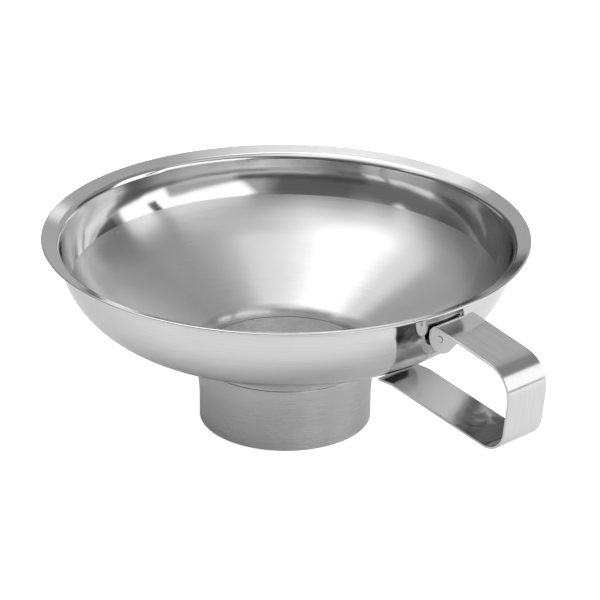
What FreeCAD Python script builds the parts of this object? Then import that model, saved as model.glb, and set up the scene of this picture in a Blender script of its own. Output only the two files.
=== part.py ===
import FreeCAD, Part
import math
import os
import Sketcher

# Canning funnel in millimetres: a spun bowl with a flared rim, a short wide spout that drops into
# a jar's mouth, and a strap handle that hinges on a pin under the rim.
# The origin is on the funnel's axis at the spout's lower end, +Z is up and the handle is along +X.

DRIVING_SIZES = [
    ("metal", 0.8, "thickness of every sheet piece"),
    # The bowl's outer outline, as sharp corners from the axis outwards, and the bends between them.
    ("collar_radius", 25.95, "short collar drawn down into the neck"),
    ("collar_low", 19.45, "collar's lower edge, where the spout is welded on"),
    ("cone_height", 21.5, "corner between collar and cone"),
    ("collar_bend", 3.2, "outer radius of the bend between them"),
    ("shoulder_radius", 63.15, "corner between cone and wall"),
    ("shoulder_height", 38.85, "height of that corner"),
    ("belly_bend", 25.6, "outer radius of the belly between cone and wall"),
    ("lip_radius", 65.77, "corner between wall and flared lip"),
    ("lip_height", 55.38, "height of that corner"),
    ("lip_bend", 1.6, "outer radius of the bend under the lip"),
    ("flare_radius", 74.0, "end of the lip's line before the rim is trimmed"),
    ("flare_height", 58.43, "height of that end"),
    ("rim_radius", 70.0, "trimmed rim"),
    # The spout.
    ("spout_radius", 25.1, "outside of the spout's straight end"),
    ("spout_bore", 24.3, "inside of the spout's straight end"),
    ("spout_land", 8.0, "length of the straight end"),
    ("spout_top_radius", 25.95, "outside of the spout where it meets the collar"),
    ("spout_top_bore", 25.15, "inside of the spout there"),
    ("bead_height", 19.05, "height of the weld bead, just under the collar"),
    ("bead_size", 0.4, "radius of that bead's section"),
    # The hinge.
    ("pin_reach", 69.1, "pin's distance from the funnel's axis"),
    ("pin_height", 49.9, "height of the pin"),
    ("pin_size", 0.9, "pin radius"),
    ("pin_head", 0.15, "how far each domed end stands out of its ear"),
    ("knuckle_bore", 0.95, "radius of the bracket's bore, a running fit on the pin"),
    ("knuckle_size", 1.7, "outside radius of the bracket's knuckle"),
    ("knuckle_width", 12.6, "length of the knuckle between the ears"),
    ("web_front", 68.2, "web: where it leaves the knuckle on the bowl's side"),
    ("web_front_height", 48.7, "height there"),
    ("foot_front", 64.8, "outer face of the foot on the wall"),
    ("foot_top", 46.3, "upper edge of the foot"),
    ("foot_low", 43.6, "lower edge of the foot"),
    ("foot_back", 60.0, "the foot's blank runs this far in before it is fitted to the wall"),
    ("web_back", 69.5, "web: where it leaves the knuckle on the handle's side"),
    ("web_back_height", 48.4, "height there"),
    ("web_foot", 66.2, "web: lower corner between foot and knuckle"),
    ("web_foot_height", 45.4, "height there"),
    # The strap's outer face as one closed loop, from the nose clockwise; the loop is then opened.
    ("strap_width", 14.7, "width of the handle's strap"),
    ("nose_reach", 65.45, "bowl side of the curled nose"),
    ("nose_height", 53.45, "corner between the nose and the strap's top run"),
    ("nose_bend", 2.2, "outer radius of the curl"),
    ("grip_reach", 96.0, "outer face of the grip, upper corner"),
    ("grip_top", 47.75, "upper corner's height"),
    ("grip_top_bend", 9.2, "upper corner's bend"),
    ("grip_low_reach", 93.2, "outer face of the grip, lower corner"),
    ("grip_low", 23.0, "lower corner's height"),
    ("grip_low_bend", 7.2, "lower corner's bend"),
    ("heel_reach", 51.5, "where the strap's free end flattens under the bowl"),
    ("heel_height", 29.5, "height there"),
    ("heel_bend", 6.0, "bend there"),
    ("blank_reach", 40.0, "the closed loop's side before it is opened"),
    ("blank_low", 29.1, "height of that side's lower end"),
    ("blank_top", 46.0, "height of its upper end"),
    ("tip_reach", 45.9, "trimmed free end under the bowl"),
    ("curl_end", 50.6, "trimmed lower edge of the nose's curl"),
    ("curl_clear", 67.0, "the trim's side, clear of the curl"),
    ("trim_step", 38.0, "the trim's height between the free end and the nose"),
    ("trim_low", 15.0, "lower side of the trim"),
    ("trim_in", 35.0, "inner side of the trim"),
    ("trim_out", 105.0, "blank beyond the rim"),
    # The ears, bent down from the strap's edges.
    ("ear_top", 53.2, "upper corner of an ear, inside the strap's sheet"),
    ("ear_nose_bend", 2.35, "ear's corner inside the curl"),
    ("ear_low_reach", 64.5, "ear's lower corner on the bowl's side"),
    ("ear_low", 45.7, "bottom of an ear"),
    ("ear_round", 3.6, "ear's round side by the bowl"),
    ("ear_toe", 71.0, "ear's lower corner on the handle's side"),
    ("ear_toe_round", 4.8, "round of that corner"),
    ("ear_end", 75.5, "where the ear runs out under the strap"),
    ("ear_end_height", 51.15, "height there"),
]

doc = FreeCAD.newDocument("canning_funnel")
sheet = doc.addObject("Spreadsheet::Sheet", "dims")
for row, (alias, value, note) in enumerate(DRIVING_SIZES, start=1):
    sheet.set(f"A{row}", note)
    sheet.set(f"B{row}", str(value))
    sheet.setAlias(f"B{row}", alias)
doc.recompute()


def size(alias):
    return float(sheet.get(alias))


def new_body(name):
    body = doc.addObject("PartDesign::Body", name)
    body.Label = name
    return body


def new_sketch(body, name, role):
    """An empty sketch on one of the body's own origin planes."""
    sketch = body.newObject("Sketcher::SketchObject", name)
    plane = [feature for feature in body.Origin.OriginFeatures if feature.Role == role][0]
    sketch.AttachmentSupport = (plane, [""])
    sketch.MapMode = "FlatFace"
    return sketch


def bind(sketch, constraint, alias):
    """Add a dimension to a sketch and tie it to a cell of the sheet."""
    index = sketch.addConstraint(constraint)
    sketch.setExpression(f"Constraints[{index}]", f"dims.{alias}")


def place_point(sketch, element, end, across, up):
    """Put a point at the distances in two cells; None puts it on the vertical axis."""
    if across is None:
        sketch.addConstraint(Sketcher.Constraint("PointOnObject", element, end, -2))
    else:
        bind(sketch, Sketcher.Constraint("DistanceX", -1, 1, element, end, size(across)), across)
    if up is None:
        sketch.addConstraint(Sketcher.Constraint("PointOnObject", element, end, -1))
    else:
        bind(sketch, Sketcher.Constraint("DistanceY", -1, 1, element, end, size(up)), up)


def corner_point(corner):
    across, up, _ = corner
    return FreeCAD.Vector(size(across) if across else 0.0, size(up) if up else 0.0, 0.0)


def outline(sketch, corners):
    """Closed outline through corners (across cell, up cell, bend radius cell or None)."""
    count = len(corners)
    points = [corner_point(corner) for corner in corners]
    entries, exits, centres, turns = [], [], [], []
    for index in range(count):
        here = points[index]
        back = (points[index - 1] - here).normalize()
        ahead = (points[(index + 1) % count] - here).normalize()
        bend = corners[index][2]
        if bend is None:
            entries.append(here)
            exits.append(here)
            centres.append(None)
            turns.append(0.0)
            continue
        half_angle = back.getAngle(ahead) / 2
        reach = size(bend) / math.tan(half_angle)
        middle = (back + ahead).normalize() * (size(bend) / math.sin(half_angle))
        entries.append(here + back * reach)
        exits.append(here + ahead * reach)
        centres.append(here + middle)
        turns.append(-back.cross(ahead).z)
    sides = []
    for index in range(count):
        side = Part.LineSegment(exits[index], entries[(index + 1) % count])
        sides.append(sketch.addGeometry(side, False))
    for index, (across, up, bend) in enumerate(corners):
        before, after = sides[index - 1], sides[index]
        if bend is None:
            sketch.addConstraint(Sketcher.Constraint("Coincident", before, 2, after, 1))
            place_point(sketch, after, 1, across, up)
            continue
        centre = centres[index]
        circle = Part.Circle(centre, FreeCAD.Vector(0, 0, 1), size(bend))
        entry = entries[index] - centre
        leave = exits[index] - centre
        turns_left = turns[index] > 0
        first, last = (entry, leave) if turns_left else (leave, entry)
        start_angle = math.atan2(first.y, first.x)
        end_angle = math.atan2(last.y, last.x)
        arc = sketch.addGeometry(Part.ArcOfCircle(circle, start_angle, end_angle), False)
        entry_end, leave_end = (1, 2) if turns_left else (2, 1)
        sketch.addConstraint(Sketcher.Constraint("Tangent", before, 2, arc, entry_end))
        sketch.addConstraint(Sketcher.Constraint("Tangent", arc, leave_end, after, 1))
        bind(sketch, Sketcher.Constraint("Radius", arc, size(bend)), bend)
        sharp = sketch.addGeometry(Part.Point(points[index]), True)
        sketch.addConstraint(Sketcher.Constraint("PointOnObject", sharp, 1, before))
        sketch.addConstraint(Sketcher.Constraint("PointOnObject", sharp, 1, after))
        place_point(sketch, sharp, 1, across, up)


def ring(sketch, radius, across=None, up=None):
    """A circle centred on the sketch's origin or at the distances in two cells."""
    centre = FreeCAD.Vector(size(across) if across else 0.0, size(up) if up else 0.0, 0.0)
    circle = sketch.addGeometry(Part.Circle(centre, FreeCAD.Vector(0, 0, 1), size(radius)), False)
    bind(sketch, Sketcher.Constraint("Radius", circle, size(radius)), radius)
    if across is None:
        sketch.addConstraint(Sketcher.Constraint("Coincident", circle, 3, -1, 1))
    else:
        place_point(sketch, circle, 3, across, up)


def spin(body, sketch, name, kind="PartDesign::Revolution"):
    """Turn a sketch a full turn about the funnel's axis, adding or (as a Groove) cutting."""
    feature = body.newObject(kind, name)
    feature.Profile = sketch
    feature.ReferenceAxis = (sketch, ["V_Axis"])
    feature.Angle = 360
    doc.recompute()
    return feature


def pad(body, sketch, name, length):
    """Pad a sketch evenly to both sides of its plane."""
    feature = body.newObject("PartDesign::Pad", name)
    feature.Profile = sketch
    feature.setExpression("Length", length)
    feature.Midplane = True
    doc.recompute()
    return feature


def cut_through(body, sketch, name):
    """Pocket a sketch through everything on both sides of its plane, and check that it cuts."""
    before = body.Shape.Volume
    feature = body.newObject("PartDesign::Pocket", name)
    feature.Profile = sketch
    feature.Type = "ThroughAll"
    feature.Midplane = True
    doc.recompute()
    if not body.Shape.Volume < before:
        raise RuntimeError(f"{name} cuts nothing")
    return feature


def flat_faces(feature, direction):
    """Names of a feature's flat faces whose normal is along a direction."""
    names = []
    for index, face in enumerate(feature.Shape.Faces, start=1):
        if isinstance(face.Surface, Part.Plane):
            if abs(face.Surface.Axis.dot(direction)) > 0.999:
                names.append(f"Face{index}")
    return names


def shell(body, base, name, direction):
    """Hollow a solid to sheet metal, open at its flat faces across a direction."""
    feature = body.newObject("PartDesign::Thickness", name)
    feature.Base = (base, flat_faces(base, direction))
    feature.setExpression("Value", "dims.metal")
    feature.Join = "Intersection"
    feature.Reversed = True
    doc.recompute()
    return feature


# The bowl's outer outline, closed along the axis; the hinge foot is fitted to the same outline.
BOWL_OUTLINE = [
    (None, "collar_low", None),
    ("collar_radius", "collar_low", None),
    ("collar_radius", "cone_height", "collar_bend"),
    ("shoulder_radius", "shoulder_height", "belly_bend"),
    ("lip_radius", "lip_height", "lip_bend"),
    ("flare_radius", "flare_height", None),
    (None, "flare_height", None),
]

# The strap's outer face, closed into a loop.
STRAP_LOOP = [
    ("nose_reach", "nose_height", "nose_bend"),
    ("grip_reach", "grip_top", "grip_top_bend"),
    ("grip_low_reach", "grip_low", "grip_low_bend"),
    ("heel_reach", "heel_height", "heel_bend"),
    ("blank_reach", "blank_low", None),
    ("blank_reach", "blank_top", None),
    ("nose_reach", "blank_top", None),
]

EAR_OUTLINE = [
    ("nose_reach", "ear_top", "ear_nose_bend"),
    ("ear_end", "ear_end_height", None),
    ("ear_toe", "ear_low", "ear_toe_round"),
    ("ear_low_reach", "ear_low", "ear_round"),
]


def make_bowl():
    body = new_body("bowl")
    profile = new_sketch(body, "bowl_outline", "XZ_Plane")
    outline(profile, BOWL_OUTLINE)
    blank = spin(body, profile, "bowl_blank")
    shell(body, blank, "bowl_wall", FreeCAD.Vector(0, 0, 1))
    trim = new_sketch(body, "rim_trim", "XY_Plane")
    ring(trim, "rim_radius")
    ring(trim, "trim_out")
    cut_through(body, trim, "rim_cut")
    return body


def make_spout():
    body = new_body("spout")
    profile = new_sketch(body, "spout_section", "XZ_Plane")
    outline(profile, [
        ("spout_bore", None, None),
        ("spout_radius", None, None),
        ("spout_radius", "spout_land", None),
        ("spout_top_radius", "collar_low", None),
        ("spout_top_bore", "collar_low", None),
        ("spout_bore", "spout_land", None),
    ])
    spin(body, profile, "spout_tube")
    bead = new_sketch(body, "weld_bead_section", "XZ_Plane")
    ring(bead, "bead_size", "spout_top_radius", "bead_height")
    spin(body, bead, "weld_bead")
    return body


def make_hinge_bracket():
    body = new_body("hinge_bracket")
    barrel = new_sketch(body, "knuckle_circle", "XZ_Plane")
    ring(barrel, "knuckle_size", "pin_reach", "pin_height")
    pad(body, barrel, "knuckle", "dims.knuckle_width")
    web = new_sketch(body, "web_outline", "XZ_Plane")
    outline(web, [
        ("web_front", "web_front_height", None),
        ("foot_front", "foot_top", None),
        ("foot_back", "foot_top", None),
        ("foot_back", "foot_low", None),
        ("foot_front", "foot_low", None),
        ("web_foot", "web_foot_height", None),
        ("web_back", "web_back_height", None),
    ])
    pad(body, web, "web_and_foot", "dims.knuckle_width")
    fit = new_sketch(body, "wall_outline", "XZ_Plane")
    outline(fit, BOWL_OUTLINE)
    spin(body, fit, "wall_fit", "PartDesign::Groove")
    bore = new_sketch(body, "pin_bore_circle", "XZ_Plane")
    ring(bore, "knuckle_bore", "pin_reach", "pin_height")
    cut_through(body, bore, "pin_bore")
    return body


def make_hinge_pin():
    body = new_body("hinge_pin")
    shank = new_sketch(body, "pin_circle", "XZ_Plane")
    ring(shank, "pin_size", "pin_reach", "pin_height")
    rod = pad(body, shank, "pin_rod", "dims.strap_width + 2 * dims.pin_head")
    dome = body.newObject("PartDesign::Fillet", "pin_domes")
    dome.Base = (rod, flat_faces(rod, FreeCAD.Vector(0, 1, 0)))
    dome.setExpression("Radius", "dims.pin_head")
    doc.recompute()
    return body


def make_handle_strap():
    """One strap bent into a loop, open by the bowl, with an ear at each edge for the pin."""
    body = new_body("handle_strap")
    profile = new_sketch(body, "strap_outline", "XZ_Plane")
    outline(profile, STRAP_LOOP)
    blank = pad(body, profile, "strap_blank", "dims.strap_width")
    shell(body, blank, "strap_sheet", FreeCAD.Vector(0, 1, 0))
    trim = new_sketch(body, "strap_trim_outline", "XZ_Plane")
    outline(trim, [
        ("trim_in", "trim_low", None),
        ("tip_reach", "trim_low", None),
        ("tip_reach", "trim_step", None),
        ("curl_clear", "trim_step", None),
        ("curl_clear", "curl_end", None),
        ("trim_in", "curl_end", None),
    ])
    cut_through(body, trim, "strap_trim")
    ear = new_sketch(body, "ear_outline", "XZ_Plane")
    outline(ear, EAR_OUTLINE)
    ear.setExpression("AttachmentOffset.Base.z", "dims.strap_width / 2 - dims.metal")
    front = body.newObject("PartDesign::Pad", "front_ear")
    front.Profile = ear
    front.setExpression("Length", "dims.metal")
    doc.recompute()
    rear = body.newObject("PartDesign::Mirrored", "rear_ear")
    rear.Originals = [front]
    plane = [feature for feature in body.Origin.OriginFeatures if feature.Role == "XZ_Plane"][0]
    rear.MirrorPlane = (plane, [""])
    body.Tip = rear
    doc.recompute()
    bore = new_sketch(body, "ear_hole_circle", "XZ_Plane")
    ring(bore, "pin_size", "pin_reach", "pin_height")
    cut_through(body, bore, "ear_holes")
    return body


pieces = [
    make_bowl(),
    make_spout(),
    make_hinge_bracket(),
    make_hinge_pin(),
    make_handle_strap(),
]
doc.recompute()

for item in doc.Objects:
    if "Invalid" in item.State or "Error" in item.State:
        raise RuntimeError(f"{item.Name} failed: {item.State}")
for piece in pieces:
    if piece.Shape.isNull() or not piece.Shape.isValid() or len(piece.Shape.Solids) != 1:
        raise RuntimeError(f"{piece.Label} is not one valid solid")

os.makedirs("parts", exist_ok=True)
for piece in pieces:
    piece.Shape.exportStep(f"parts/{piece.Label}.step")
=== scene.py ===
import math

import bpy
from mathutils import Matrix, Vector


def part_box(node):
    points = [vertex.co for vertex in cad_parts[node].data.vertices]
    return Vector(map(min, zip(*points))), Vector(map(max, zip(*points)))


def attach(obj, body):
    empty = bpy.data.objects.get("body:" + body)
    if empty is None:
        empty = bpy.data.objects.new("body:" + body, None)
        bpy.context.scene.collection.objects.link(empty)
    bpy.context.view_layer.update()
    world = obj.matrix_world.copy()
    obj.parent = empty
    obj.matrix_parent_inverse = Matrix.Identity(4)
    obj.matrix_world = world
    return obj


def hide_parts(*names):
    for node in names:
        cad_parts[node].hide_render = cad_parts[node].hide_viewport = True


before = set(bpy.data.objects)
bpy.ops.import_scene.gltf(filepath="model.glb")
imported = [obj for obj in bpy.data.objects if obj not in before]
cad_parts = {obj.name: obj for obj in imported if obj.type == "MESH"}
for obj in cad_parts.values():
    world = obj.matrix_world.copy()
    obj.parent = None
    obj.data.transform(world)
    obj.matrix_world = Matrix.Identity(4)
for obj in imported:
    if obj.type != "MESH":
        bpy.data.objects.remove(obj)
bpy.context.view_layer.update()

# Canning funnel in stainless steel. Lengths in the outlines are millimetres, in the frame's axes:
# origin on the axis at the spout's lower end, +Z up, handle along +X.
MM = 0.001
METAL = 0.8             # thickness of the sheet
EDGE = 0.16             # rounding of the cut edges

# How finely the outlines are drawn.
LINE_STEP = 1.0
NO_LENGTH = 1e-6
ARC_STEP = math.radians(4)
SMALL_ARC_STEPS = 5
TURNS = 360             # steps round the bowl and the spout
PIN_TURNS = 48
PIN_CENTRE = 0.2        # innermost ring of the pin's end face, as a share of its radius


# ---------------------------------------------------------------- outlines

def box_mm(node):
    low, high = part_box(node)
    return [value / MM for value in low], [value / MM for value in high]


def unit(across, up):
    length = math.hypot(across, up)
    return across / length, up / length


def rounded(corners, closed):
    """Points along an outline with its bends, as (across, up, normal across, normal up).

    Corners are (across, up, bend radius); the normal is on the right of the way along."""
    count = len(corners)
    entries, exits, arcs = [], [], []
    for index, (across, up, bend) in enumerate(corners):
        is_end = not closed and index in (0, count - 1)
        if is_end or bend <= 0:
            entries.append((across, up))
            exits.append((across, up))
            arcs.append(None)
            continue
        before = corners[index - 1]
        after = corners[(index + 1) % count]
        back = unit(before[0] - across, before[1] - up)
        ahead = unit(after[0] - across, after[1] - up)
        half = math.acos(max(-1.0, min(1.0, back[0] * ahead[0] + back[1] * ahead[1]))) / 2
        reach = bend / math.tan(half)
        middle = unit(back[0] + ahead[0], back[1] + ahead[1])
        out = bend / math.sin(half)
        entries.append((across + back[0] * reach, up + back[1] * reach))
        exits.append((across + ahead[0] * reach, up + ahead[1] * reach))
        arcs.append((across + middle[0] * out, up + middle[1] * out))
    points = []
    for index in range(count):
        if arcs[index]:
            points += arc_points(arcs[index], entries[index], exits[index])
        if closed or index < count - 1:
            points += line_points(exits[index], entries[(index + 1) % count])
    return points


def arc_points(centre, first, last):
    """Points along a bend with its two ends, each with its normal."""
    radius = math.hypot(first[0] - centre[0], first[1] - centre[1])
    start = math.atan2(first[1] - centre[1], first[0] - centre[0])
    end = math.atan2(last[1] - centre[1], last[0] - centre[0])
    sweep = (end - start + math.pi) % math.tau - math.pi
    steps = max(SMALL_ARC_STEPS, math.ceil(abs(sweep) / ARC_STEP))
    side = 1 if sweep > 0 else -1
    points = []
    for step in range(steps + 1):
        angle = start + sweep * step / steps
        cos, sin = math.cos(angle), math.sin(angle)
        points.append((centre[0] + radius * cos, centre[1] + radius * sin, side * cos, side * sin))
    return points


def line_points(first, last):
    """Points inside a straight stretch, without its two ends."""
    length = math.hypot(last[0] - first[0], last[1] - first[1])
    if length < NO_LENGTH:
        return []
    along = unit(last[0] - first[0], last[1] - first[1])
    steps = math.ceil(length / LINE_STEP)
    points = []
    for step in range(1, steps):
        share = step / steps
        across = first[0] + (last[0] - first[0]) * share
        up = first[1] + (last[1] - first[1]) * share
        points.append((across, up, along[1], -along[0]))
    return points


def meet(point, along, other, other_along):
    """Where two lines cross."""
    cross = along[0] * other_along[1] - along[1] * other_along[0]
    share = ((other[0] - point[0]) * other_along[1] - (other[1] - point[1]) * other_along[0]) / cross
    return point[0] + along[0] * share, point[1] + along[1] * share


def sheet_section(corners, start_along, end_along):
    """Closed section of sheet metal from its outer face's corners.

    The sheet lies on the left of the way along, and its two ends are cut along the given ways."""
    ways = [unit(b[0] - a[0], b[1] - a[1]) for a, b in zip(corners, corners[1:])]
    shifted = [(c[0] - w[1] * METAL, c[1] + w[0] * METAL) for c, w in zip(corners, ways)]
    inner = [(*meet(corners[0], start_along, shifted[0], ways[0]), corners[0][2])]
    for index in range(1, len(corners) - 1):
        before, after = ways[index - 1], ways[index]
        turns_left = before[0] * after[1] - before[1] * after[0] > 0
        bend = corners[index][2] + (-METAL if turns_left else METAL)
        inner.append((*meet(shifted[index - 1], before, shifted[index], after), bend))
    inner.append((*meet(corners[-1], end_along, shifted[-1], ways[-1]), corners[-1][2]))
    return corners + inner[::-1]


# ---------------------------------------------------------------- meshes

def ring_mesh(name, rings, looped):
    """Mesh over equal rings of (place in mm, normal), capped at both ends unless it is looped."""
    across = len(rings[0])
    places = [Vector(place) * MM for ring in rings for place, _ in ring]
    normals = [Vector(normal) for ring in rings for _, normal in ring]
    faces = []
    for index in range(len(rings) if looped else len(rings) - 1):
        here = index * across
        ahead = (index + 1) % len(rings) * across
        for side in range(across):
            beside = (side + 1) % across
            faces.append((here + side, here + beside, ahead + beside, ahead + side))
    if not looped:
        faces.append(tuple(reversed(range(across))))
        faces.append(tuple(range((len(rings) - 1) * across, len(rings) * across)))
    mesh = bpy.data.meshes.new(name)
    mesh.from_pydata(places, [], faces)
    mesh.validate()
    mesh.shade_smooth()
    mesh.normals_split_custom_set_from_vertices(normals)
    piece = bpy.data.objects.new(name, mesh)
    bpy.context.collection.objects.link(piece)
    return piece


def lathe(name, section):
    """Turn a closed section of (radius, height, bend) corners about the funnel's axis."""
    points = rounded(section, closed=True)
    rings = []
    for turn in range(TURNS):
        angle = -math.tau * turn / TURNS
        cos, sin = math.cos(angle), math.sin(angle)
        ring = []
        for across, up, normal_across, normal_up in points:
            place = (across * cos, across * sin, up)
            ring.append((place, (normal_across * cos, normal_across * sin, normal_up)))
        rings.append(ring)
    return ring_mesh(name, rings, looped=True)


def strip_section(width, depth):
    """Section of a strap as (across, depth from its outer face, and the normal's same two parts)."""
    half = width / 2
    corners = [(-half, 0, EDGE), (half, 0, EDGE), (half, depth, EDGE), (-half, depth, EDGE)]
    return rounded(corners, closed=True)


def edge_tilts():
    """Tilts of the normal across a softened edge, from the side to the end."""
    return [math.radians(90) * step / SMALL_ARC_STEPS for step in range(SMALL_ARC_STEPS + 1)]


def sweep_strap(name, corners, width):
    """Strap whose outer face follows corners in the XZ plane, with both ends softened."""
    path = rounded(corners, closed=False)
    first_way = unit(corners[1][0] - corners[0][0], corners[1][1] - corners[0][1])
    last_way = unit(corners[-1][0] - corners[-2][0], corners[-1][1] - corners[-2][1])
    path.insert(0, (*corners[0][:2], first_way[1], -first_way[0]))
    path.append((*corners[-1][:2], last_way[1], -last_way[0]))
    soft = edge_tilts()
    stations = [(path[0], -tilt, EDGE * (1 - math.sin(tilt))) for tilt in reversed(soft)]
    stations += [(point, 0.0, 0.0) for point in path[1:-1]]
    stations += [(path[-1], tilt, -EDGE * (1 - math.sin(tilt))) for tilt in soft]
    section = strip_section(width, METAL)
    rings = []
    for (across, up, out_across, out_up), tilt, slide in stations:
        way = Vector((-out_up, 0, out_across))
        out = Vector((out_across, 0, out_up))
        base = Vector((across, 0, up)) + way * slide
        pull = EDGE * (1 - math.cos(tilt))
        ring = []
        for aside, depth, normal_aside, normal_depth in section:
            edge_normal = Vector((0, 1, 0)) * normal_aside - out * normal_depth
            place = base + Vector((0, 1, 0)) * aside - out * depth - edge_normal * pull
            normal = edge_normal * math.cos(tilt) + way * math.sin(tilt)
            ring.append((place, normal))
        rings.append(ring)
    return ring_mesh(name, rings, looped=False)


def ear_plate(name, corners, centre, hole, inner_side, outer_side):
    """Flat ear between two distances across, with softened edges round it and round its pin hole."""
    outline = rounded(corners, closed=True)
    soft = edge_tilts()
    sign = 1 if outer_side > inner_side else -1
    walk = [("outline", False), ("outline", True), ("hole", True), ("hole", False)]
    layers = []
    for kind, at_outer in walk:
        face = outer_side if at_outer else inner_side
        facing = sign if at_outer else -sign
        outwards = at_outer == (kind == "outline")
        for tilt in soft if outwards else soft[::-1]:
            inset = EDGE * (1 - math.cos(tilt))
            aside = face - facing * EDGE * (1 - math.sin(tilt))
            layers.append((kind, inset, aside, tilt, facing))
    rings = []
    for kind, inset, aside, tilt, facing in layers:
        ring = []
        for across, up, out_across, out_up in outline:
            if kind == "outline":
                place = Vector((across - out_across * inset, aside, up - out_up * inset))
                flat = Vector((out_across, 0, out_up))
            else:
                spoke = unit(across - centre[0], up - centre[1])
                radius = hole + inset
                place = Vector((centre[0] + spoke[0] * radius, aside, centre[1] + spoke[1] * radius))
                flat = Vector((-spoke[0], 0, -spoke[1]))
            normal = flat * math.cos(tilt) + Vector((0, facing, 0)) * math.sin(tilt)
            ring.append((place, normal))
        rings.append(ring)
    if sign > 0:
        rings.reverse()
    return ring_mesh(name, rings, looped=True)


def pin_mesh(name, centre, radius, half_length, edge):
    """Pin across the handle, with rounded end edges."""
    stations = []
    for tilt in edge_tilts():
        aside = half_length - edge * (1 - math.sin(tilt))
        stations.append((aside, radius - edge * (1 - math.cos(tilt)), tilt))
    stations.append((half_length, radius * PIN_CENTRE, math.radians(90)))
    profile = [(-aside, size, -tilt) for aside, size, tilt in reversed(stations)] + stations
    rings = []
    for aside, size, tilt in profile:
        ring = []
        for turn in range(PIN_TURNS):
            angle = -math.tau * turn / PIN_TURNS
            spoke = Vector((math.cos(angle), 0, math.sin(angle)))
            place = Vector((centre[0], aside, centre[1])) + spoke * size
            ring.append((place, spoke * math.cos(tilt) + Vector((0, math.sin(tilt), 0))))
        rings.append(ring)
    return ring_mesh(name, rings, looped=False)


def join(name, parts):
    """One piece from several, under the first one's place and the given name."""
    bpy.ops.object.select_all(action="DESELECT")
    for part in parts:
        part.select_set(True)
    bpy.context.view_layer.objects.active = parts[0]
    bpy.ops.object.join()
    parts[0].name = name
    return parts[0]


# ---------------------------------------------------------------- materials

def add(tree, kind, inputs=None, **settings):
    """Add a node; each input is a number or colour, or another node's output to link."""
    made = tree.nodes.new(kind)
    for key, value in settings.items():
        setattr(made, key, value)
    for key, value in (inputs or {}).items():
        if isinstance(value, bpy.types.NodeSocket):
            tree.links.new(value, made.inputs[key])
        else:
            made.inputs[key].default_value = value
    return made


def calc(tree, operation, *values):
    return add(tree, "ShaderNodeMath", dict(enumerate(values)), operation=operation).outputs[0]


def noise(tree, vector, scale, detail=2.0, roughness=0.5):
    made = add(tree, "ShaderNodeTexNoise", {
        "Vector": vector, "Scale": scale, "Detail": detail, "Roughness": roughness})
    return made.outputs["Fac"]


def remap(tree, value, low, high, to_low, to_high):
    made = add(tree, "ShaderNodeMapRange", {
        "Value": value, "From Min": low, "From Max": high, "To Min": to_low, "To Max": to_high})
    return made.outputs["Result"]


def weigh(tree, first, second, share):
    """Weighted sum of two patterns, with the first one's share of it."""
    return calc(tree, "ADD", calc(tree, "MULTIPLY", first, share),
                calc(tree, "MULTIPLY", second, 1.0 - share))


def turned_vector(tree, place):
    """(radius, height): a grain of fine rings, as from turning and polishing on a lathe."""
    parts = add(tree, "ShaderNodeSeparateXYZ", {0: place}).outputs
    squares = calc(tree, "ADD", calc(tree, "MULTIPLY", parts[0], parts[0]),
                   calc(tree, "MULTIPLY", parts[1], parts[1]))
    radius = calc(tree, "SQRT", squares)
    return add(tree, "ShaderNodeCombineXYZ", {0: radius, 1: parts[2]}).outputs[0]


def lengthwise_vector(tree, place):
    """Strap grain: quick change across, slow change along."""
    stretch = add(tree, "ShaderNodeMapping", {"Vector": place, "Scale": (0.02, 1.0, 0.02)})
    return stretch.outputs[0]


def even_vector(tree, place):
    return place


# Noise scales shared by the steels, per metre.
CLOUD_SCALE = 28.0
SMUDGE_SCALE = 75.0
FLECK_SCALE = 900.0
SCRATCH_SCALE = 2600.0
WAVE_SCALE = 95.0
BLOTCH_SCALE = 260.0

# How the patterns are put together.
DARKEST = 0.94          # a steel's tone in its dark patches, as a share of its own
LIGHTEST = 1.05         # and in its light ones
CLOUD_SHARE = 0.4       # the rest of the colour's pattern is grain
TONE_SPAN = (0.36, 0.64)
SMUDGE_SHARE = 0.6      # the rest of the gloss's pattern is grain
GLOSS_SPAN = (0.3, 0.7)
SCRATCH_TURN = (0.4, 0.3, 0.7)
SCRATCH_STRETCH = (1.0, 0.06, 0.3)
SCRATCH_SPAN = (0.66, 0.72)
FLECK_SHARE = 0.25
QUARTER_TURN = 0.25     # anisotropic rotation that spreads a highlight along the radius
BLOTCH_SWAY = 18.0      # how far the darkened patch's edge wanders, in mm
PATCH_EDGE = 2.0         # soft upper edge of the darkened patch, in mm
PATCH_FACES_UP = 0.3     # least upward part of the normal where the patch darkens the colour


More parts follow.
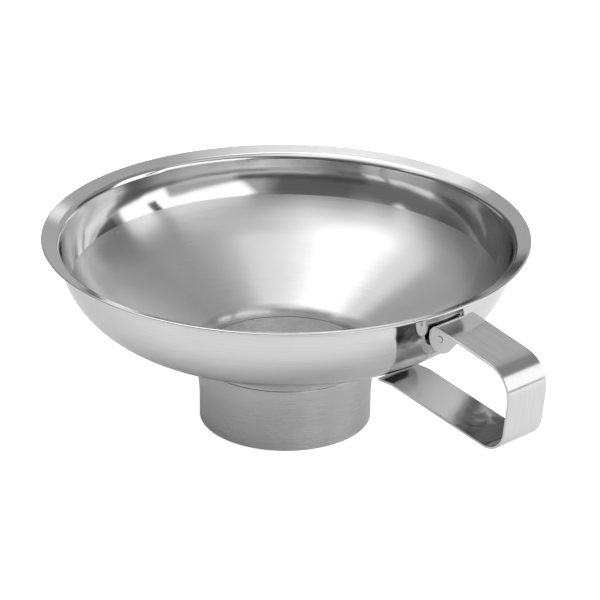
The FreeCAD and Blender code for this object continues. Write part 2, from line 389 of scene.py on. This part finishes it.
def steel(name, tone, rough, grain_way, grain_scale, grain_depth, anisotropy=0.0, scratch_depth=0.0,
          wave_depth=0.0):
    """Stainless steel: a grey tone, grain, scratches and smudges, with gloss that varies.

    rough is the range of its roughness, and grain_scale is per metre. grain_depth and wave_depth
    are in mm, and wave_depth is the slow unevenness that forming leaves in the sheet.
    scratch_depth is a share of grain_depth."""
    material = bpy.data.materials.new(name)
    material.use_nodes = True
    tree = material.node_tree
    shader = tree.nodes["Principled BSDF"]
    place = add(tree, "ShaderNodeTexCoord").outputs["Object"]
    grain_place = grain_way(tree, place)
    grain = noise(tree, grain_place, grain_scale, detail=3.0, roughness=0.6)
    cloud = noise(tree, place, CLOUD_SCALE, detail=4.0, roughness=0.6)
    smudge = noise(tree, place, SMUDGE_SCALE, detail=5.0, roughness=0.65)
    flecks = noise(tree, place, FLECK_SCALE, detail=2.0, roughness=0.5)

    dark = (tone * DARKEST,) * 3 + (1.0,)
    light = (tone * LIGHTEST,) * 3 + (1.0,)
    share = remap(tree, weigh(tree, cloud, grain, CLOUD_SHARE), *TONE_SPAN, 0.0, 1.0)
    colour = add(tree, "ShaderNodeMix", {0: share, 6: dark, 7: light}, data_type="RGBA")
    tree.links.new(colour.outputs[2], shader.inputs["Base Color"])

    gloss = remap(tree, weigh(tree, smudge, grain, SMUDGE_SHARE), *GLOSS_SPAN, *rough)
    tree.links.new(gloss, shader.inputs["Roughness"])
    shader.inputs["Metallic"].default_value = 1.0
    if anisotropy:
        shader.inputs["Anisotropic"].default_value = anisotropy
        shader.inputs["Anisotropic Rotation"].default_value = QUARTER_TURN
        turn = add(tree, "ShaderNodeTangent", direction_type="RADIAL", axis="Z")
        tree.links.new(turn.outputs[0], shader.inputs["Tangent"])

    height = grain
    if scratch_depth:
        scratch_place = add(tree, "ShaderNodeMapping", {
            "Vector": place, "Rotation": SCRATCH_TURN, "Scale": SCRATCH_STRETCH}).outputs[0]
        scratch = noise(tree, scratch_place, SCRATCH_SCALE, detail=1.0)
        deep = remap(tree, scratch, *SCRATCH_SPAN, 0.0, -scratch_depth)
        height = calc(tree, "ADD", height, deep)
    height = calc(tree, "ADD", height, calc(tree, "MULTIPLY", flecks, FLECK_SHARE))
    bump = add(tree, "ShaderNodeBump", {
        "Height": height, "Strength": 1.0, "Distance": grain_depth * MM})
    if wave_depth:
        wave = noise(tree, place, WAVE_SCALE, detail=1.5, roughness=0.4)
        sway = add(tree, "ShaderNodeBump", {
            "Height": wave, "Strength": 1.0, "Distance": wave_depth * MM})
        tree.links.new(sway.outputs[0], bump.inputs["Normal"])
    tree.links.new(bump.outputs[0], shader.inputs["Normal"])
    return material


def dark_patch(material, start, full, top, tone):
    """Darker blotchy patch painted into the colour on the upward side of the handle's lower run.

    It starts and is full at two distances from the funnel's axis, and lies below a height, in mm."""
    tree = material.node_tree
    colour = tree.nodes["Principled BSDF"].inputs["Base Color"]
    unpatched = colour.links[0].from_socket
    coordinates = add(tree, "ShaderNodeTexCoord")
    place = coordinates.outputs["Object"]
    split = add(tree, "ShaderNodeSeparateXYZ", {0: place})
    facing = add(tree, "ShaderNodeSeparateXYZ", {0: coordinates.outputs["Normal"]})
    blotch = noise(tree, place, BLOTCH_SCALE, detail=5.0, roughness=0.7)
    sway = calc(tree, "MULTIPLY", calc(tree, "SUBTRACT", blotch, 0.5), BLOTCH_SWAY * MM)
    along = remap(tree, calc(tree, "ADD", split.outputs["X"], sway), start * MM, full * MM, 0.0, 1.0)
    below = remap(tree, split.outputs["Z"], (top - PATCH_EDGE) * MM, top * MM, 1.0, 0.0)
    upward_side = calc(tree, "GREATER_THAN", facing.outputs["Z"], PATCH_FACES_UP)
    share = calc(tree, "MULTIPLY", calc(tree, "MULTIPLY", along, below), upward_side)
    dark = (tone, tone, tone, 1.0)
    # the colour is darkened towards tone where the blotchy patch lies
    patched = add(tree, "ShaderNodeMix", {0: share, 6: unpatched, 7: dark}, data_type="RGBA")
    tree.links.new(patched.outputs[2], colour)


POLISHED = 0.68
SATIN = 0.66
bowl_polish = steel("bowl_polish", POLISHED, (0.06, 0.12), turned_vector, grain_scale=3200.0,
                    grain_depth=0.0007, anisotropy=0.8, wave_depth=0.1)
bowl_satin = steel("bowl_satin", SATIN, (0.22, 0.28), turned_vector, grain_scale=4200.0,
                   grain_depth=0.0012, anisotropy=1.0)
spout_satin = steel("spout_satin", SATIN, (0.22, 0.30), turned_vector, grain_scale=3600.0,
                    grain_depth=0.0025, anisotropy=0.95)
strap_polish = steel("strap_polish", POLISHED, (0.12, 0.22), lengthwise_vector, grain_scale=3400.0,
                     grain_depth=0.003, scratch_depth=0.8)
# the strap's colour gets a darker blotchy patch on the upward side of its lower run, towards the grip
dark_patch(strap_polish, start=74.0, full=80.0, top=33.0, tone=0.14)
ear_steel = steel("ear_steel", 0.74, (0.26, 0.36), even_vector, grain_scale=2400.0,
                  grain_depth=0.001, scratch_depth=0.4)
pin_steel = steel("pin_steel", 0.7, (0.22, 0.3), even_vector, grain_scale=3000.0,
                  grain_depth=0.001, scratch_depth=0.4)
bracket_steel = steel("bracket_steel", 0.55, (0.22, 0.34), even_vector, grain_scale=2200.0,
                      grain_depth=0.003, scratch_depth=0.5)


# ---------------------------------------------------------------- bowl

COLLAR_RADIUS = 25.95
CONE_HEIGHT = 21.5      # corner between collar and cone
COLLAR_BEND = 3.2
SHOULDER = (63.15, 38.85)
BELLY_BEND = 25.6
LIP = (65.77, 55.38)    # corner between wall and flared lip
LIP_BEND = 1.6
FLARE = (74.0, 58.43)   # a place on the lip's line beyond the rim
RIM_EDGE = 0.37         # rounding of the rim
SATIN_REACH = 61.7      # the inside is satin up to this radius and polished outside it
SATIN_RISE = 1.6        # the collar's inside is satin to this height above its lower edge
FACES_UP = 0.05         # least upward part of the normal of a face on the bowl's inside
OUTSIDE = 0.1           # faces this near the collar's outer radius are its outside

bowl_low, bowl_high = box_mm("bowl")
rim_radius = min(bowl_high[0], bowl_high[1], -bowl_low[0], -bowl_low[1])
collar_low = bowl_low[2]
flare_slope = (FLARE[1] - LIP[1]) / (FLARE[0] - LIP[0])
bowl_section = sheet_section([
    (COLLAR_RADIUS, collar_low, EDGE),
    (COLLAR_RADIUS, CONE_HEIGHT, COLLAR_BEND),
    (*SHOULDER, BELLY_BEND),
    (*LIP, LIP_BEND),
    (rim_radius, LIP[1] + (rim_radius - LIP[0]) * flare_slope, RIM_EDGE),
], start_along=(1, 0), end_along=(0, 1))
bowl = lathe("bowl_shell", bowl_section)
bowl.data.materials.append(bowl_polish)
bowl.data.materials.append(bowl_satin)
for face in bowl.data.polygons:
    reach = math.hypot(face.center.x, face.center.y) / MM
    in_collar = face.center.z < (collar_low + SATIN_RISE) * MM and reach < COLLAR_RADIUS - OUTSIDE
    if (face.normal.z > FACES_UP or in_collar) and reach < SATIN_REACH:
        face.material_index = 1
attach(bowl, "funnel")
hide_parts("bowl")


# ---------------------------------------------------------------- spout

SPOUT_RADIUS = 25.1
SPOUT_BORE = SPOUT_RADIUS - METAL
SPOUT_LAND = 8.0        # length of the straight end
SPOUT_BEND = 12.0       # the soft bend above it
MOUTH_EDGE_IN = 0.2     # rounding of the lower edge's two corners
MOUTH_EDGE_OUT = 0.3
SEAM_EDGE = 0.1         # rounding where the spout meets the collar

# The weld's raised bead, just under the collar.
BEAD_SIZE = 0.4         # from its middle up to the collar
BEAD_OUT = 0.3          # how far it stands out
BEAD_FOOT = 0.42        # from its middle down to where it begins
BEAD_FLAT = 0.2         # half of its upright stretch
BEAD_ROUND = 0.15       # rounding of its two corners
FOOT_SINK = 0.02        # it begins this far inside the collar's radius

spout_low, spout_high = box_mm("spout")
bead_height = spout_high[2] - BEAD_SIZE
spout_section = [
    (SPOUT_BORE, spout_low[2], MOUTH_EDGE_IN),
    (SPOUT_RADIUS, spout_low[2], MOUTH_EDGE_OUT),
    (SPOUT_RADIUS, SPOUT_LAND, SPOUT_BEND),
    (COLLAR_RADIUS - FOOT_SINK, bead_height - BEAD_FOOT, SEAM_EDGE),
    (COLLAR_RADIUS + BEAD_OUT, bead_height - BEAD_FLAT, BEAD_ROUND),
    (COLLAR_RADIUS + BEAD_OUT, bead_height + BEAD_FLAT, BEAD_ROUND),
    (COLLAR_RADIUS, spout_high[2], SEAM_EDGE),
    (COLLAR_RADIUS - METAL, spout_high[2], SEAM_EDGE),
    (SPOUT_BORE, SPOUT_LAND, SPOUT_BEND),
]
spout = lathe("spout_tube", spout_section)
spout.data.materials.append(spout_satin)
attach(spout, "funnel")
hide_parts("spout")


# ---------------------------------------------------------------- handle

# The strap's outer face, from its free end under the bowl round the grip to the curled nose.
TIP_REACH = 45.9        # the free end's distance from the funnel's axis
HEEL = (51.5, 29.5)     # where the free end flattens under the bowl
FLAT = (40.0, 29.1)     # a place on that flat end's line
GRIP_LOW = (93.2, 23.0)
GRIP_TOP = (96.0, 47.75)
NOSE = (65.45, 53.45)
NOSE_END = 50.6         # height of the curled nose's end
EAR_INSET = 0.04        # each ear's outer face lies this far inside the strap's edge
PIN_GROOVE = 0.07       # fine gap that shows round the pin's end
PIN_EDGE = 0.15         # rounding of the pin's ends

strap_low, strap_high = box_mm("handle_strap")
strap_width = strap_high[1] - strap_low[1]
tip_height = HEEL[1] + (HEEL[0] - TIP_REACH) * (FLAT[1] - HEEL[1]) / (HEEL[0] - FLAT[0])
strap = sweep_strap("strap_loop", [
    (TIP_REACH, tip_height, 0),
    (*HEEL, 6.0),
    (*GRIP_LOW, 7.2),
    (*GRIP_TOP, 9.2),
    (*NOSE, 2.2),
    (NOSE[0], NOSE_END, 0),
], strap_width)
strap.data.materials.append(strap_polish)

pin_low, pin_high = box_mm("hinge_pin")
pin_centre = ((pin_low[0] + pin_high[0]) / 2, (pin_low[2] + pin_high[2]) / 2)
pin_radius = (pin_high[0] - pin_low[0]) / 2
ear_corners = [
    (NOSE[0], 53.2, 2.35),
    (64.5, 45.7, 3.6),
    (71.0, 45.7, 4.8),
    (75.5, 51.15, 0.3),
]
ears = []
for side in (-1, 1):
    outer_side = side * (strap_width / 2 - EAR_INSET)
    inner_side = side * (strap_width / 2 - METAL)
    ear = ear_plate("ear", ear_corners, pin_centre, pin_radius + PIN_GROOVE, inner_side, outer_side)
    ear.data.materials.append(ear_steel)
    ears.append(ear)
handle = join("handle_loop", [strap, *ears])
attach(handle, "handle")
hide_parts("handle_strap")

pin = pin_mesh("hinge_pin_rod", pin_centre, pin_radius, pin_high[1], PIN_EDGE)
pin.data.materials.append(pin_steel)
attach(pin, "handle")
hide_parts("hinge_pin")


# ---------------------------------------------------------------- hinge bracket, the CAD node itself

BRACKET_EDGE = 0.12
SHARP_EDGE = math.radians(35)

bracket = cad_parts["hinge_bracket"]
bracket.data.materials.clear()
bracket.data.materials.append(bracket_steel)
soften = bracket.modifiers.new("soft_edges", "BEVEL")
soften.width = BRACKET_EDGE * MM
soften.segments = 3
soften.limit_method = "ANGLE"
soften.angle_limit = SHARP_EDGE


# ---------------------------------------------------------------- floor, light and camera

FLOOR_SIZE = 8.0
PAPER_GLOW = 0.75       # lifts the floor to white, for the camera only

bpy.ops.mesh.primitive_plane_add(size=FLOOR_SIZE, location=(0, 0, 0))
floor = bpy.context.object
floor.name = "floor"
paper = bpy.data.materials.new("white_paper")
paper.use_nodes = True
paper_shader = paper.node_tree.nodes["Principled BSDF"]
paper_shader.inputs["Base Color"].default_value = (0.9, 0.9, 0.9, 1.0)
paper_shader.inputs["Roughness"].default_value = 0.9
paper_shader.inputs["Specular IOR Level"].default_value = 0.1
paper_shader.inputs["Emission Color"].default_value = (1.0, 1.0, 1.0, 1.0)
paper_view = add(paper.node_tree, "ShaderNodeLightPath").outputs["Is Camera Ray"]
glow = calc(paper.node_tree, "MULTIPLY", paper_view, PAPER_GLOW)
paper.node_tree.links.new(glow, paper_shader.inputs["Emission Strength"])
floor.data.materials.append(paper)

VIEW_AZIMUTH = math.radians(47.0)
VIEW_ELEVATION = math.radians(24.12)
VIEW_ROLL = math.radians(0.55)
VIEW_DISTANCE = 0.8
VIEW_TARGET = Vector((2.78, 2.98, 36.26)) * MM
right = Vector((math.cos(VIEW_AZIMUTH), math.sin(VIEW_AZIMUTH), 0))
away = Vector((-math.sin(VIEW_AZIMUTH), math.cos(VIEW_AZIMUTH), 0))
skyward = Vector((0, 0, 1))
back = skyward * math.sin(VIEW_ELEVATION) - away * math.cos(VIEW_ELEVATION)
upward = back.cross(right)


def softbox(name, aim_right, aim_away, aim_up, distance, width, height, power):
    """Area light that the metal doesn't mirror, turned towards the funnel.

    The way to it is given to the camera's right, away from the camera, and up."""
    aim = (right * aim_right + away * aim_away + skyward * aim_up).normalized()
    light = bpy.data.lights.new(name, "AREA")
    light.shape = "RECTANGLE"
    light.size = width
    light.size_y = height
    light.energy = power
    lamp = bpy.data.objects.new(name, light)
    lamp.location = aim * distance
    lamp.rotation_euler = aim.to_track_quat("Z", "Y").to_euler()
    lamp.visible_glossy = False
    bpy.context.collection.objects.link(lamp)


softbox("fill_light", aim_right=0.0, aim_away=0.0, aim_up=1.0,
        distance=1.6, width=1.4, height=1.4, power=3.4)
softbox("window_light", aim_right=0.85, aim_away=-0.18, aim_up=0.5,
        distance=1.3, width=0.7, height=0.5, power=6.0)

world = bpy.data.worlds.new("studio")
world.use_nodes = True
bpy.context.scene.world = world
sky_tree = world.node_tree
sky = sky_tree.nodes["Background"]
heading = add(sky_tree, "ShaderNodeTexCoord").outputs["Generated"]


def blend(under, over, share):
    """Tone of the studio with the given share of another tone over it."""
    step = calc(sky_tree, "MULTIPLY", calc(sky_tree, "SUBTRACT", over, under), share)
    return calc(sky_tree, "ADD", under, step)


def lean(way):
    """How far the direction looked in leans the given way."""
    made = add(sky_tree, "ShaderNodeVectorMath", {0: heading, 1: tuple(way)}, operation="DOT_PRODUCT")
    return made.outputs["Value"]


def within(across, ahead, half, softness):
    """1 inside half an angle to either side of a card's middle, and 0 outside it."""
    ratio = calc(sky_tree, "DIVIDE", calc(sky_tree, "ABSOLUTE", across), ahead)
    inside = math.tan(math.radians(half - softness / 2))
    outside = math.tan(math.radians(half + softness / 2))
    return remap(sky_tree, ratio, inside, outside, 1.0, 0.0)


def card(tone, turned, raised, half_width, half_height, softness, strength):
    """Lay an upright card or softbox over the studio's tone.

    Angles are in degrees: turned from the camera's right towards the far side, raised from level,
    the card's half sizes as seen from the funnel, and the width of its soft edge."""
    turned, raised = math.radians(turned), math.radians(raised)
    level = right * math.cos(turned) + away * math.sin(turned)
    side = away * math.cos(turned) - right * math.sin(turned)
    aim = level * math.cos(raised) + skyward * math.sin(raised)
    lift = skyward * math.cos(raised) - level * math.sin(raised)
    ahead = lean(aim)
    cover = calc(sky_tree, "MULTIPLY", within(lean(side), ahead, half_width, softness),
                 within(lean(lift), ahead, half_height, softness))
    cover = calc(sky_tree, "MULTIPLY", cover, calc(sky_tree, "GREATER_THAN", ahead, 0.0))
    return blend(tone, strength, cover)


STUDIO_TONE = 0.5
BACKDROP = 1.0          # white behind the funnel, as the camera sees it

# The studio's cards and softboxes, the later ones over the earlier ones:
# turned, raised, half width, half height, softness and strength.
CARDS = [
    (205, 10, 50, 24, 20, 0.18),      # dark room at the left
    (146, 19, 34, 7, 8, 0.12),        # dark band at the far left
    (140, 50, 55, 5, 6, 1.15),        # light band high at the far left
    (200, 50, 14, 9, 8, 1.0),         # light ceiling at the left
    (300, 46, 42, 8, 6, 0.15),        # dark band high towards the camera
    (114, 3, 20, 10, 4, 0.1),         # dark low card at the far side
    (300, 64, 30, 12, 14, 0.8),       # light ceiling towards the camera
    (22, 36, 20, 20, 10, 0.3),        # shade at the right
    (26, 14, 14, 9, 6, 0.1),          # dark card under that shade
    (124, 66, 22, 17, 12, 1.1),       # softbox over the far side
    (215, 71, 28, 16, 14, 1.25),      # softbox over the left
    (142, 70, 13, 11, 12, 2.7),       # bright middle between the two
    (80, 75, 9, 6, 8, 2.0),           # bright edge nearly overhead
    (255, 24, 22, 14, 10, 0.14),      # dark card round the camera
    (290, -3, 38, 7, 8, 1.2),         # white table towards the camera
    (262, 10, 34, 4, 4, 0.08),        # dark strip above the table
    (330, 29, 35, 12, 4, 1.5),        # window at the near right
    (352, 20, 16, 18, 3, 1.5),        # window at the right
    (346.5, 28, 2.2, 14, 1, 0.12),    # that window's bar
    (350, 1, 30, 1.6, 1.5, 0.1),      # dark horizon under the window
]
studio = STUDIO_TONE
for placing in CARDS:
    studio = card(studio, *placing)
seen = add(sky_tree, "ShaderNodeLightPath").outputs["Is Camera Ray"]
studio = blend(studio, BACKDROP, seen)
sky_tree.links.new(studio, sky.inputs["Color"])
sky.inputs["Strength"].default_value = 1.0

camera_data = bpy.data.cameras.new("photo_camera")
camera_data.lens = 166.0
camera_data.sensor_width = 36.0
camera_data.dof.use_dof = False
camera = bpy.data.objects.new("photo_camera", camera_data)
bpy.context.collection.objects.link(camera)
camera_x = right * math.cos(VIEW_ROLL) + upward * math.sin(VIEW_ROLL)
camera_y = upward * math.cos(VIEW_ROLL) - right * math.sin(VIEW_ROLL)
turn = Matrix((camera_x, camera_y, back)).transposed().to_4x4()
camera.matrix_world = Matrix.Translation(VIEW_TARGET + back * VIEW_DISTANCE) @ turn
bpy.context.scene.camera = camera
bpy.context.scene.view_settings.view_transform = "Standard"
